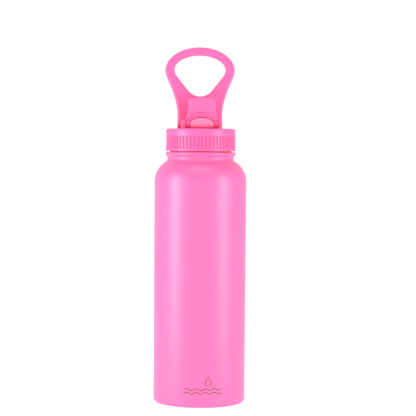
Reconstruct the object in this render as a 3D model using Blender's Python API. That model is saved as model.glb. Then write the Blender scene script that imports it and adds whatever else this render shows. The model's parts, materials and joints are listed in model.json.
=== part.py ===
"""Insulated wide-mouth drinking bottle with a screw lid, a folding spout and a carry loop.

Units are metres, +Z is up, and -Y is the front, where the spout is. The origin is the centre of the
ring that the bottle stands on. The pieces are shown as carried: lid closed, spout up, loop up.
"""

from math import acos, ceil, cos, pi, radians, sin, tau

import bmesh
import bpy
from mathutils import Matrix, Vector
from mathutils.geometry import interpolate_bezier

mm = 0.001

# Overall sizes
body_diameter = 91 * mm
body_height = 219.5 * mm          # base to where the wall starts to curve in
mouth_diameter = 56.6 * mm      # bore of the liner's neck
loop_width = 69.5 * mm
loop_height = 77.1 * mm         # loop hinge to the top of the loop

# Clearances
seat_gap = 0.3 * mm             # between pieces that rest on or are fixed to each other
hinge_gap = 0.4 * mm            # between pieces that swing past each other
thread_gap = 0.5 * mm           # radial play between a thread's crest and the other wall
plug_gap = 0.7 * mm             # lid's plug to the liner's neck
overcut = 1 * mm                # how far a cutter or a rooted piece runs past a face

# Bottle
shell_wall = 0.5 * mm
liner_wall = 0.4 * mm
vacuum_gap = 3.5 * mm
neck_gap = 1.3 * mm             # liner to outer wall, in the neck
shoulder_radius = 23 * mm
shoulder_blend = 1.7 * mm       # shoulder's arc ends this far outside the groove
base_corner = 4 * mm
rest_ring = 4 * mm              # flat width of the ring that the bottle stands on
cap_wall = 0.5 * mm             # both discs of the base
floor_height = 9.0 * mm         # top of the liner's floor
liner_corner = 6 * mm
liner_blend = 1.5 * mm          # liner's shoulder arc ends this far outside its neck
groove_depth = 2.1 * mm         # neck groove, in from the bead
groove_height = 3.8 * mm        # shoulder's end to the groove's deepest ring
groove_round = 1.6 * mm         # half-height of the groove's rounded floor
groove_ease = 0.4 * mm          # how far the floor rises over that
bead_height = 4.5 * mm          # groove's deepest ring to the bead's widest ring
bead_overhang = 0.3 * mm        # bead outside the lid's skirt
bead_roll = 1.2 * mm            # how far the bead's top turns in
bead_rise = 1.7 * mm            # bead's widest ring to the seat above it
neck_height = 17.0 * mm         # seat to the drinking rim
rim_roll = 0.6 * mm             # height of the liner's rolled lip
dimple_radius = 5.0 * mm        # dimple around the vacuum port
dimple_rise = 1.5 * mm
dimple_slope = 1.0 * mm
vacuum_port = 1.5 * mm
getter_radius = 6.0 * mm
getter_thickness = 1.6 * mm

# Thread
thread_pitch = 5.0 * mm
thread_turns = 1.25
thread_depth = 1.4 * mm
thread_root = 2.0 * mm          # width of a ridge where it meets the wall
thread_crest = 1.0 * mm
thread_start = 3.2 * mm         # seat to the middle of the neck ridge's lower end
thread_sink = 0.3 * mm          # how far a ridge is rooted in its wall

# Lid
skirt_wall = 2.2 * mm
lid_lift = 0.6 * mm             # seat to the skirt's lower edge
knurl_height = 13.5 * mm
knurl_count = 58
knurl_depth = 0.45 * mm
knurl_start = 0.5 * mm          # lip to the lower ends of the knurl's grooves
knurl_end = 0.9 * mm            # their upper ends to the smooth band
lip_height = 1.2 * mm
lip_proud = 0.2 * mm            # lower lip outside the knurl's ribs
lip_edge = 0.3 * mm
band_inset = 0.05 * mm          # smooth band inside the knurl's ribs
deck_thickness = 2.2 * mm
gasket_height = 2.4 * mm
gasket_width = 3.4 * mm
liner_plug_wall = 1.2 * mm
liner_plug_depth = 6.5 * mm     # how far the plug reaches below the drinking rim
lid_edge = 1.5 * mm

# Spout
spout_offset = 8.5 * mm         # spout hinge, forward of the lid's centre
hub_radius = 4.2 * mm
spout_half_width = 15.9 * mm
crease_half_width = 14.15 * mm
spout_top_half_width = 12.9 * mm
flare_rise = 5.3 * mm           # hinge to where the foot starts to narrow
flare_lead = 2.0 * mm           # rise of the handle that starts the narrowing
crease_rise = 11.3 * mm         # hinge to the crease under the mouthpiece
spout_length = 25.2 * mm        # hinge to the top of the mouthpiece
spout_depth = 8.4 * mm
mouth_depth = 7.6 * mm
mouth_edge = 1.2 * mm
mouth_corner = 2.0 * mm
channel_radius = 2.2 * mm
nib_wall = 0.8 * mm
nib_height = 7.5 * mm
pin_radius = 1.1 * mm
pin_reach = 6.0 * mm            # inner end of each spout pin, from the middle
pin_inset = 0.5 * mm            # pins' ends inside the faces around them
tower_thickness = 3.6 * mm
tower_depth = 10.0 * mm
tower_rise = 9.2 * mm           # deck to the tower's top
tower_edge = 2.5 * mm
pad_half_width = 12.05 * mm
pad_rise = 6.2 * mm             # hinge to the top of the arch
pad_wrap = radians(43)          # how far the pad wraps under the hub
pad_proud = 0.3 * mm
pad_depth = 1.1 * mm
pad_stock = 20 * mm             # half-width of the slab that the pad is trimmed from

# Carry loop
loop_offset = 13.0 * mm         # loop hinge, behind the lid's centre
loop_crown = 23.4 * mm          # height of the half ellipse at the top
haunch_drop = 11.2 * mm         # crown's foot to the bend in each side
haunch_inset = 3.6 * mm         # that bend, in from the loop's full half-width
haunch_rise = 8.0 * mm          # sides' slope at the bend: this rise for each haunch_inset
crown_lead = 2.5 * mm           # length of the upright handle below the crown's foot
foot_straight = 10.0 * mm       # hinge to where each side starts to lean out
loop_hub_radius = 4.3 * mm
loop_foot_half_width = 22.3 * mm
loop_top_depth = 7.4 * mm
loop_edge = 1.3 * mm
limb_width = 9.2 * mm           # loop's width at each side of the window
limb_top = 8.2 * mm             # loop's width above the window
web_height = 28.3 * mm          # hinge to the bottom of the window
web_half_width = 5.5 * mm       # flat part of the window's bottom
web_corner = 4.4 * mm           # rise of the window's rounded bottom corners
web_corner_half = 10.7 * mm     # half-width at the top of those corners
web_turn = Vector((1.5, 1.5)) * mm
bend_inset = 1.6 * mm           # window's upper bend, in from its full half-width
bend_drop = 5.6 * mm
bend_turn = Vector((3.4, 4.2)) * mm
window_lift = 1.0 * mm          # window's widest line above the loop's
notch_gap = 0.7 * mm            # loop's notch above its own barrel
hinge_block_half_width = 12.0 * mm
loop_pin_radius = 1.5 * mm

# Straw and lid fittings
straw_radius = 4.0 * mm
straw_wall = 1.2 * mm
straw_clear = 14.0 * mm         # straw's end above the liner's floor
grommet_wall = 1.0 * mm
grommet_length = 11.0 * mm
socket_wall = 1.2 * mm
socket_drop = 8.0 * mm          # socket's length below the liner plug's floor
socket_stop = 0.5 * mm          # sleeve above the socket's end, and straw above the sleeve
port_seal_wall = 1.0 * mm
seal_flange = 1.4 * mm
seal_flange_height = 0.9 * mm
vent_offset_x = 10.0 * mm
vent_offset_y = 0.8 * mm        # vent forward of the spout hinge
vent_radius = 1.2 * mm
vent_boss_wall = 0.8 * mm
valve_radius = 2.6 * mm
valve_thickness = 0.8 * mm

ring_steps = 40
small_steps = 16

# Radii of the neck, outwards from the mouth
neck_bore = mouth_diameter / 2
liner_neck = neck_bore + liner_wall
neck_inner = liner_neck + neck_gap
neck_outer = neck_inner + shell_wall
ridge_outer = neck_outer + thread_depth
skirt_inner = ridge_outer + thread_gap
skirt_outer = skirt_inner + skirt_wall
bead_outer = skirt_outer + bead_overhang
groove_outer = bead_outer - groove_depth

# Radii of the body
body_outer = body_diameter / 2
body_inner = body_outer - shell_wall
flask_outer = body_inner - vacuum_gap
ring_outer = body_outer - base_corner
ring_inner = ring_outer - rest_ring

# Heights, from the base up. The shoulder's arc ends a little outside the groove.
shoulder_centre = body_outer - shoulder_radius
shoulder_end_radius = groove_outer + shoulder_blend
shoulder_sweep = acos((shoulder_end_radius - shoulder_centre) / shoulder_radius)
shoulder_end = body_height + shoulder_radius * sin(shoulder_sweep)
groove_z = shoulder_end + groove_height
bead_z = groove_z + bead_height
seat_z = bead_z + bead_rise
rim_z = seat_z + neck_height
skirt_z = seat_z + lid_lift
gasket_z = rim_z + seat_gap
deck_under = gasket_z + gasket_height + seat_gap
deck_z = deck_under + deck_thickness
knurl_top = skirt_z + lip_height + knurl_height
plug_z = rim_z - liner_plug_depth
plug_top = deck_under - seat_gap
socket_z = plug_z - socket_drop
grommet_z = socket_z + socket_stop
straw_top = grommet_z + grommet_length + socket_stop
straw_z = floor_height + straw_clear
cap_z = shell_wall + seat_gap
vacuum_base_z = cap_z + cap_wall + seat_gap

# Hinges. The spout's pad and the loop's back clear the deck by a gap.
pad_radius = hub_radius + pad_proud
boss_z = deck_z + hinge_gap
spout_y = -spout_offset
spout_z = boss_z + seat_gap + pad_radius
loop_y = loop_offset
loop_z = deck_z + hinge_gap + loop_hub_radius
spout_hinge = (0, spout_y, spout_z)
loop_hinge = (0, loop_y, loop_z)
vent_centre = (vent_offset_x, spout_y - vent_offset_y)

grommet_bore = straw_radius + seat_gap
grommet_outer = grommet_bore + grommet_wall
socket_bore = grommet_outer + seat_gap
socket_outer = socket_bore + socket_wall
port_seal_outer = channel_radius + port_seal_wall
plug_outer = neck_bore - plug_gap
plug_inner = plug_outer - liner_plug_wall


def clear_scene():
    for old in list(bpy.data.objects):
        bpy.data.objects.remove(old, do_unlink=True)


def material(name, colour, roughness, metallic=0.0):
    made = bpy.data.materials.new(name)
    made.use_nodes = True
    shader = made.node_tree.nodes["Principled BSDF"]
    shader.inputs["Base Color"].default_value = (*colour, 1)
    shader.inputs["Roughness"].default_value = roughness
    shader.inputs["Metallic"].default_value = metallic
    made.diffuse_color = (*colour, 1)
    return made


def finish(name, bm, look, origin=(0, 0, 0), smooth_angle=35):
    """Turn a bmesh into an object whose origin is at the given point."""
    bmesh.ops.remove_doubles(bm, verts=bm.verts, dist=0.00001)
    bmesh.ops.recalc_face_normals(bm, faces=bm.faces)
    bmesh.ops.translate(bm, verts=bm.verts, vec=-Vector(origin))
    mesh = bpy.data.meshes.new(name)
    bm.to_mesh(mesh)
    bm.free()
    mesh.shade_smooth()
    mesh.set_sharp_from_angle(angle=radians(smooth_angle))
    made = bpy.data.objects.new(name, mesh)
    made.location = origin
    bpy.context.scene.collection.objects.link(made)
    if look:
        made.data.materials.append(look)
    return made


def cutter(name, bm, origin=(0, 0, 0)):
    made = finish(name, bm, None, origin)
    made.hide_render = True
    made.display_type = "WIRE"
    return made


def cut(target, tool, operation="DIFFERENCE"):
    step = target.modifiers.new(tool.name, "BOOLEAN")
    step.operation = operation
    step.solver = "EXACT"
    step.object = tool


def turned(points, steps=ring_steps, centre=(0, 0)):
    """Spin a closed outline of (radius, height) points about a vertical axis."""
    bm = bmesh.new()
    ring = [bm.verts.new((r, 0, z)) for r, z in points]
    edges = [bm.edges.new((a, b)) for a, b in zip(ring, ring[1:] + ring[:1]) if a.co.x + b.co.x > 1e-9]
    bmesh.ops.spin(bm, geom=ring + edges, axis=(0, 0, 1), cent=(0, 0, 0), angle=tau, steps=steps,
                   use_merge=True)
    bmesh.ops.remove_doubles(bm, verts=bm.verts, dist=0.00001)
    poles = [v for v in bm.verts if v.co.xy.length < 1e-6]
    bmesh.ops.dissolve_verts(bm, verts=poles)
    bmesh.ops.translate(bm, verts=bm.verts, vec=(*centre, 0))
    return bm


def arc(centre, radius, start, end, steps):
    """Points (radius, height) along an arc, angles measured from +X."""
    turns = [start + (end - start) * i / steps for i in range(steps + 1)]
    return [(centre[0] + radius * cos(a), centre[1] + radius * sin(a)) for a in turns]


def rod(radius, low, high, steps=small_steps, centre=(0, 0)):
    return turned([(0, low), (radius, low), (radius, high), (0, high)], steps, centre)


def tube(bore, radius, low, high, steps=small_steps, centre=(0, 0)):
    return turned([(bore, low), (radius, low), (radius, high), (bore, high)], steps, centre)


def lying_rod(radius, half_length, y, z, steps=small_steps):
    """A cylinder along X, centred on the axis through (y, z)."""
    bm = rod(radius, -half_length, half_length, steps)
    bmesh.ops.rotate(bm, verts=bm.verts, cent=(0, 0, 0), matrix=Matrix.Rotation(pi / 2, 3, "Y"))
    bmesh.ops.translate(bm, verts=bm.verts, vec=(0, y, z))
    return bm


def block(low, high):
    bm = bmesh.new()
    size = Vector(high) - Vector(low)
    place = Matrix.Translation((Vector(high) + Vector(low)) / 2) @ Matrix.Diagonal((*size, 1))
    bmesh.ops.create_cube(bm, size=1, matrix=place)
    return bm


def plate(outline, start, end, along="Y"):
    """Extrude an outline between two values of Y (outline is x, z) or of X (outline is y, z)."""
    bm = bmesh.new()
    if along == "Y":
        corners = [bm.verts.new((a, start, b)) for a, b in outline]
        move = (0, end - start, 0)
    else:
        corners = [bm.verts.new((start, a, b)) for a, b in outline]
        move = (end - start, 0, 0)
    face = bm.faces.new(corners)
    grown = bmesh.ops.extrude_face_region(bm, geom=[face], use_keep_orig=True)
    moved = [item for item in grown["geom"] if isinstance(item, bmesh.types.BMVert)]
    bmesh.ops.translate(bm, verts=moved, vec=move)
    bmesh.ops.recalc_face_normals(bm, faces=bm.faces)
    return bm


def curve_points(knots, steps):
    """Points along Bezier stretches: knots are (point, handle in, handle out), as (a, b) pairs."""
    line = []
    for (first, _, leave), (last, arrive, _) in zip(knots, knots[1:]):
        stretch = interpolate_bezier(Vector(first), Vector(leave), Vector(arrive), Vector(last), steps + 1)
        line += [(p.x, p.y) for p in stretch[:-1]]
    line.append(knots[-1][0])
    return line


def mirrored(half):
    """Close an outline that runs from the middle at the bottom, up its +X side, to the middle."""
    return half + [(-a, b) for a, b in reversed(half) if a > 1e-7]


def thread_ridge(wall, crest, start, turns):
    """A helical ridge from inside a wall out to its crest, tapered to nothing at both ends."""
    steps = ceil(ring_steps * turns)
    root = wall - thread_sink if crest > wall else wall + thread_sink
    bm = bmesh.new()
    last = None
    for i in range(steps + 1):
        share = i / steps
        turn = tau * (turns * share + 0.4 / ring_steps)
        fade = max(0.12, min(1, share * steps / 4, (1 - share) * steps / 4))
        tip = wall + (crest - wall) * fade
        middle = start + thread_pitch * turns * share
        section = [(root, -thread_root / 2), (tip, -thread_crest / 2), (tip, thread_crest / 2),
                   (root, thread_root / 2)]
        ring = [bm.verts.new((r * cos(turn), r * sin(turn), middle + z)) for r, z in section]
        if last:
            for j in range(len(ring)):
                k = (j + 1) % len(ring)
                bm.faces.new((last[j], last[k], ring[k], ring[j]))
        else:
            bm.faces.new(ring)
        last = ring
    bm.faces.new(list(reversed(last)))
    bmesh.ops.recalc_face_normals(bm, faces=bm.faces)
    return bm


def make_outer_shell(look):
    inner_shoulder = shoulder_radius - shell_wall
    shell_top = rim_z - rim_roll - seat_gap
    middle = (shoulder_centre, body_height)
    corner = (ring_outer, base_corner)
    outside = [(ring_inner, 0), (ring_outer, 0)]
    outside += arc(corner, base_corner, -pi / 2, 0, 4)[1:]
    outside += arc(middle, shoulder_radius, 0, shoulder_sweep, 6)
    outside += [(groove_outer + groove_ease, groove_z - groove_round), (groove_outer, groove_z),
                (groove_outer + groove_ease, groove_z + groove_round), (bead_outer, bead_z),
                (bead_outer - bead_roll, seat_z), (neck_outer, seat_z), (neck_outer, shell_top)]
    inside = [(neck_inner, shell_top), (neck_inner, seat_z - bead_roll),
              (groove_outer - shell_wall, groove_z + groove_round), (groove_outer - shell_wall, groove_z)]
    inside += reversed(arc(middle, inner_shoulder, 0, shoulder_sweep, 5))
    inside += reversed(arc(corner, base_corner - shell_wall, -pi / 2, 0, 3))
    inside += [(ring_inner, shell_wall)]
    shell = finish("outer_shell", turned(outside + inside), look)
    ridge = thread_ridge(neck_outer, ridge_outer, seat_z + thread_start, thread_turns)
    cut(shell, cutter("neck_thread", ridge), "UNION")


def make_inner_flask(look):
    corner = (flask_outer - liner_corner, floor_height - liner_wall + liner_corner)
    middle = (shoulder_centre, body_height)
    reach = shoulder_radius - shell_wall - vacuum_gap
    sweep = acos((liner_neck + liner_blend - shoulder_centre) / reach)
    outside = [(0, floor_height - liner_wall)]
    outside += arc(corner, liner_corner, -pi / 2, 0, 4)
    outside += arc(middle, reach, 0, sweep, 5)
    outside += [(liner_neck, groove_z), (liner_neck, rim_z - rim_roll)]
    lip = [(neck_outer, rim_z - rim_roll), (neck_outer - rim_roll, rim_z), (neck_bore + rim_roll, rim_z),
           (neck_bore, rim_z - rim_roll)]
    inside = [(neck_bore, groove_z)]
    inside += reversed(arc(middle, reach - liner_wall, 0, sweep, 5))
    inside += reversed(arc(corner, liner_corner - liner_wall, -pi / 2, 0, 4))
    inside += [(0, floor_height)]
    finish("inner_flask", turned(outside + lip + inside), look)


def make_base(steel, bead, getter_look):
    cap_radius = ring_inner + 0.6 * rest_ring
    finish("base_cap", rod(cap_radius, cap_z, cap_z + cap_wall, ring_steps), steel)

    low = vacuum_base_z
    crown = low + dimple_rise
    radius = ring_outer + 0.5 * base_corner
    disc = [(vacuum_port, crown), (dimple_radius - dimple_slope, crown), (dimple_radius, low), (radius, low),
            (radius, low + cap_wall), (dimple_radius, low + cap_wall),
            (dimple_radius - dimple_slope, crown + cap_wall), (vacuum_port, crown + cap_wall)]
    finish("vacuum_base", turned(disc), steel)

    bead_radius = dimple_radius - dimple_slope - 2 * seat_gap
    nib = vacuum_port - seat_gap
    plug = [(0, low), (bead_radius, low), (bead_radius, crown - seat_gap), (nib, crown - seat_gap),
            (nib, crown + cap_wall), (0, crown + cap_wall)]
    finish("vacuum_seal", turned(plug, small_steps), bead)

    getter_low = low + cap_wall + seat_gap
    getter_centre = (flask_outer / 2, 0)
    pill = rod(getter_radius, getter_low, getter_low + getter_thickness, small_steps, getter_centre)
    finish("getter", pill, getter_look)


def make_lid_shell(look):
    knurl_z = skirt_z + lip_height
    lip = skirt_outer + lip_proud
    band = skirt_outer - band_inset
    outline = [(skirt_inner, skirt_z), (lip - lip_edge, skirt_z), (lip, skirt_z + lip_edge), (lip, knurl_z),
               (skirt_outer, knurl_z + knurl_start), (skirt_outer, knurl_top - knurl_end), (band, knurl_top)]
    outline += arc((band - lid_edge, deck_z - lid_edge), lid_edge, 0, pi / 2, 3)
    outline += [(0, deck_z), (0, deck_under), (skirt_inner, deck_under)]
    columns = 2 * knurl_count
    body = turned(outline, columns)
    for v in body.verts:
        in_height = knurl_z + knurl_start / 2 < v.co.z < knurl_top - knurl_end / 2
        in_grooves = in_height and v.co.xy.length > skirt_inner + overcut
        column = round(v.co.xy.angle_signed(Vector((1, 0)), 0) / tau * columns)
        if in_grooves and column % 2:
            v.co.xy *= (skirt_outer - knurl_depth) / skirt_outer
    shell = finish("lid_shell", body, look)

    ridge = thread_ridge(skirt_inner, neck_outer + thread_gap, seat_z + thread_start + thread_pitch / 2,
                         thread_turns)
    cut(shell, cutter("lid_thread", ridge), "UNION")

    tower_inner = spout_half_width + hinge_gap
    tower_top = deck_z + tower_rise
    front = spout_y - tower_depth / 2
    back = spout_y + tower_depth / 2
    side = [(front, deck_z - overcut), (back, deck_z - overcut)]
    side += arc((back - tower_edge, tower_top - tower_edge), tower_edge, 0, pi / 2, 3)
    side += arc((front + tower_edge, tower_top - tower_edge), tower_edge, pi / 2, pi, 3)
    for name, x in (("left_tower", -tower_inner - tower_thickness), ("right_tower", tower_inner)):
        cut(shell, cutter(name, plate(side, x, x + tower_thickness, "X")), "UNION")

    block_side = [(loop_y - loop_hub_radius, deck_z - overcut), (loop_y + loop_hub_radius, deck_z - overcut)]
    block_side += arc((loop_y, loop_z), loop_hub_radius, 0, pi, 8)
    half = hinge_block_half_width
    cut(shell, cutter("loop_hinge_block", plate(block_side, -half, half, "X")), "UNION")

    boss = rod(vent_radius + vent_boss_wall, deck_z - overcut, boss_z, small_steps, vent_centre)
    cut(shell, cutter("vent_boss", boss), "UNION")

    below = deck_under - overcut
    above = deck_z + overcut
    cut(shell, cutter("vent_hole", rod(vent_radius, below, above, small_steps, vent_centre)))
    port_hole = rod(port_seal_outer + seat_gap, below, above, small_steps, (0, spout_y))
    cut(shell, cutter("port_hole", port_hole))
    bore = lying_rod(loop_pin_radius + seat_gap, loop_foot_half_width + overcut, loop_y, loop_z)
    loop_bore = cutter("loop_bore", bore)
    cut(shell, loop_bore)
    reach = tower_inner + tower_thickness + overcut
    cut(shell, cutter("tower_bore", lying_rod(pin_radius + seat_gap, reach, spout_y, spout_z)))
    return loop_bore


def make_lid_inside(plastic, foam, silicone):
    port = (0, spout_y)
    socket_top = plug_top - seal_flange_height - 2 * seat_gap
    cup = [(0, plug_z), (plug_outer, plug_z), (plug_outer, plug_top), (plug_inner, plug_top),
           (plug_inner, plug_z + liner_plug_wall), (0, plug_z + liner_plug_wall)]
    liner = finish("lid_liner", turned(cup), plastic)
    cut(liner, cutter("socket_wall", rod(socket_outer, socket_z, socket_top, 24, port)), "UNION")
    cut(liner, cutter("socket_bore", rod(socket_bore, socket_z - overcut, socket_top + overcut, 24, port)))
    vent = rod(vent_radius, plug_z - overcut, plug_z + liner_plug_wall + overcut, small_steps, vent_centre)
    cut(liner, cutter("liner_vent", vent))

    foam_z = plug_z + liner_plug_wall + seat_gap
    puck = finish("lid_foam", rod(plug_inner - seat_gap, foam_z, plug_top, ring_steps), foam)
    well = rod(socket_outer + seat_gap, foam_z - overcut, plug_top + overcut, 24, port)
    cut(puck, cutter("foam_socket_well", well))
    pocket = rod(valve_radius + seat_gap, foam_z - overcut, plug_top + overcut, small_steps, vent_centre)
    cut(puck, cutter("foam_valve_pocket", pocket))

    gasket_bore = neck_bore + seat_gap
    finish("lid_gasket", tube(gasket_bore, gasket_bore + gasket_width, gasket_z, gasket_z + gasket_height,
                              ring_steps), silicone)

    flange = port_seal_outer + seal_flange
    seal = [(channel_radius, plug_top - seal_flange_height), (flange, plug_top - seal_flange_height),
            (flange, plug_top), (port_seal_outer, plug_top), (port_seal_outer, boss_z),
            (channel_radius, boss_z)]
    finish("port_seal", turned(seal, small_steps, port), silicone)

    stem = vent_radius - seat_gap
    valve = [(0, plug_top - valve_thickness), (valve_radius, plug_top - valve_thickness),
             (valve_radius, plug_top), (stem, plug_top), (stem, deck_z), (0, deck_z)]
    finish("vent_valve", turned(valve, small_steps, vent_centre), silicone)

    sleeve = tube(grommet_bore, grommet_outer, grommet_z, grommet_z + grommet_length, 24, port)
    finish("straw_grommet", sleeve, silicone)


def make_straw(look):
    pipe = tube(straw_radius - straw_wall, straw_radius, straw_z, straw_top, 20, (0, spout_y))
    return finish("straw", pipe, look, (0, spout_y, straw_top))


def arch(grow=0):
    """The pad's outline seen from the front: upright sides up to the hinge, then half an ellipse."""
    width = pad_half_width + grow
    sides = [(-width, spout_z - hub_radius - overcut), (width, spout_z - hub_radius - overcut)]
    crown = [(width * cos(pi * i / 14), spout_z + (pad_rise + grow) * sin(pi * i / 14)) for i in range(15)]
    return sides + crown


def pad_skin(grow=0):
    """The pad's section seen from the side: flat above the hinge, wrapped under the hub below it."""
    outer = pad_radius + grow
    inner = pad_radius - pad_depth - grow
    top = spout_z + pad_rise + overcut
    end = pi + pad_wrap + grow / pad_radius
    wrap = [(spout_y + r, z + spout_z) for r, z in arc((0, 0), outer, pi, end, 5)]
    back = [(spout_y + r, z + spout_z) for r, z in arc((0, 0), inner, end, pi, 5)]
    return [(spout_y - outer, top)] + wrap + back + [(spout_y - inner, top)]


def make_spout(plastic, soft):
    crease_z = spout_z + crease_rise
    top_z = spout_z + spout_length
    flare_mid = (spout_half_width + crease_half_width) / 2
    flare_top = spout_z + flare_rise + (crease_rise - flare_rise) / 2
    foot = [((spout_half_width, spout_z + flare_rise), None, (flare_mid, spout_z + flare_rise + flare_lead)),
            ((crease_half_width, crease_z), (crease_half_width, flare_top), None)]
    half = [(0, spout_z), (spout_half_width, spout_z)] + curve_points(foot, 5) + [(0, crease_z)]
    front = spout_y - spout_depth / 2
    body = finish("spout_body", plate(mirrored(half), front, front + spout_depth), plastic, spout_hinge)
    hub = lying_rod(hub_radius, spout_half_width, spout_y, spout_z, 32)
    cut(body, cutter("spout_hub", hub), "UNION")
    nib_radius = channel_radius + nib_wall
    nib = rod(nib_radius, crease_z - overcut, crease_z + nib_height, small_steps, (0, spout_y))
    cut(body, cutter("spout_nib", nib), "UNION")
    channel = rod(channel_radius, spout_z - 2 * hub_radius, top_z + overcut, small_steps, (0, spout_y))
    channel_cutter = cutter("spout_channel", channel)
    cut(body, channel_cutter)
    for name, side in (("left", -1), ("right", 1)):
        ends = sorted((side * (pin_reach - seat_gap), side * (spout_half_width + overcut)))
        hole = rod(pin_radius + seat_gap, *ends)
        bmesh.ops.rotate(hole, verts=hole.verts, cent=(0, 0, 0), matrix=Matrix.Rotation(pi / 2, 3, "Y"))
        bmesh.ops.translate(hole, verts=hole.verts, vec=(0, spout_y, spout_z))
        cut(body, cutter("spout_bore_" + name, hole))

    pocket = cutter("pad_pocket", plate(pad_skin(seat_gap), -pad_stock, pad_stock, "X"))
    front_half = (spout_y - 2 * hub_radius, spout_y)
    deep = plate(arch(seat_gap), *front_half)
    cut(pocket, cutter("pad_pocket_outline", deep), "INTERSECT")
    cut(body, pocket)
    pad = finish("seal_pad", plate(pad_skin(), -pad_stock, pad_stock, "X"), soft, spout_hinge)
    cut(pad, cutter("pad_outline", plate(arch(), *front_half)), "INTERSECT")

    low = crease_z + seat_gap
    slope = (crease_half_width - spout_top_half_width) / (spout_length - crease_rise)
    low_half = crease_half_width - slope * seat_gap
    corner = mouth_corner
    half = [(0, low), (low_half, low)]
    half += arc((spout_top_half_width - corner, top_z - corner), corner, 0, pi / 2, 3) + [(0, top_z)]
    back = spout_y - mouth_depth / 2
    cap_mesh = plate(mirrored(half), back, back + mouth_depth)
    rims = [e for e in cap_mesh.edges if abs(e.verts[0].co.y - e.verts[1].co.y) < 1e-7]
    raised = [e for e in rims if max(v.co.z for v in e.verts) > low + 1e-6]
    bmesh.ops.bevel(cap_mesh, geom=raised, offset=mouth_edge, offset_type="OFFSET", segments=2, profile=0.5,
                    affect="EDGES", clamp_overlap=True, material=-1)
    cap = finish("mouthpiece", cap_mesh, soft, spout_hinge)
    sleeve = rod(nib_radius + seat_gap, low - overcut, crease_z + nib_height + seat_gap, small_steps,
                 (0, spout_y))
    cut(cap, cutter("mouth_sleeve", sleeve))
    cut(cap, channel_cutter)
    return [body, pad, cap]


def make_spout_pins(steel):
    outer = spout_half_width + hinge_gap + tower_thickness - pin_inset
    for name, side in (("spout_pin_left", -1), ("spout_pin_right", 1)):
        pin = rod(pin_radius, *sorted((side * pin_reach, side * outer)))
        bmesh.ops.rotate(pin, verts=pin.verts, cent=(0, 0, 0), matrix=Matrix.Rotation(pi / 2, 3, "Y"))
        bmesh.ops.translate(pin, verts=pin.verts, vec=(0, spout_y, spout_z))
        finish(name, pin, steel, spout_hinge)


def make_carry_loop(look, steel, loop_bore):
    top = loop_z + loop_height
    side_z = top - loop_crown
    half_width = loop_width / 2
    foot = loop_foot_half_width
    haunch = Vector((half_width - haunch_inset, side_z - haunch_drop))
    lean = Vector((haunch_inset, haunch_rise))
    rising = [((foot, loop_z + foot_straight), None, (foot, loop_z + 2.2 * foot_straight)),
              (haunch, haunch - lean, haunch + lean / 2),
              ((half_width, side_z), (half_width, side_z - crown_lead), None)]
    crown = [(half_width * cos(a), side_z + (top - side_z) * sin(a)) for a in
             [pi / 2 * i / 10 for i in range(1, 11)]]
    outline = [(0, loop_z), (foot, loop_z)] + curve_points(rising, 6) + crown
    slab = plate(mirrored(outline), loop_y - loop_hub_radius, loop_y + loop_hub_radius)
    for v in slab.verts:
        share = (v.co.z - loop_z) / loop_height
        depth = 1 + (loop_top_depth / (2 * loop_hub_radius) - 1) * share
        v.co.y = loop_y + (v.co.y - loop_y) * depth
    loop = finish("carry_loop", slab, look, loop_hinge)

    inner_half = half_width - limb_width
    inner_top = top - limb_top
    inner_side = side_z + window_lift
    low = loop_z + web_height
    corner = Vector((web_corner_half, low + web_corner))
    bend = Vector((inner_half - bend_inset, inner_side - bend_drop))
    window = [((0, low), None, (web_half_width, low)),
              (corner, corner - web_turn, corner + 3.4 * web_turn),
              (bend, bend - bend_turn, bend + 0.35 * bend_turn),
              ((inner_half, inner_side), (inner_half, inner_side - crown_lead), None)]
    arch_top = [(inner_half * cos(a), inner_side + (inner_top - inner_side) * sin(a)) for a in
                [pi / 2 * i / 8 for i in range(1, 9)]]
    loop_reach = 3 * loop_hub_radius
    opening = plate(mirrored(curve_points(window, 4) + arch_top), loop_y - loop_reach, loop_y + loop_reach)
    cut(loop, cutter("loop_window", opening))
    edge = loop.modifiers.new("rounded_edges", "BEVEL")
    edge.width = loop_edge
    edge.segments = 2
    edge.limit_method = "ANGLE"
    edge.angle_limit = radians(50)

    barrel = lying_rod(loop_hub_radius, foot, loop_y, loop_z, 24)
    cut(loop, cutter("loop_barrel", barrel), "UNION")
    gap_half = hinge_block_half_width + hinge_gap
    notch = block((-gap_half, loop_y - loop_reach, loop_z - loop_reach),
                  (gap_half, loop_y + loop_reach, loop_z + loop_hub_radius + notch_gap))
    cut(loop, cutter("loop_notch", notch))
    cut(loop, loop_bore)

    pin = lying_rod(loop_pin_radius, foot - pin_inset, loop_y, loop_z)
    finish("loop_pin", pin, steel, loop_hinge)
    return loop


def pivot(name, place, pieces):
    """An empty on a joint's axis that carries the pieces moving on it."""
    axis = bpy.data.objects.new(name, None)
    axis.empty_display_size = 10 * mm
    axis.location = place
    bpy.context.scene.collection.objects.link(axis)
    for piece in pieces:
        piece.parent = axis
        piece.location = piece.location - Vector(place)


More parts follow.
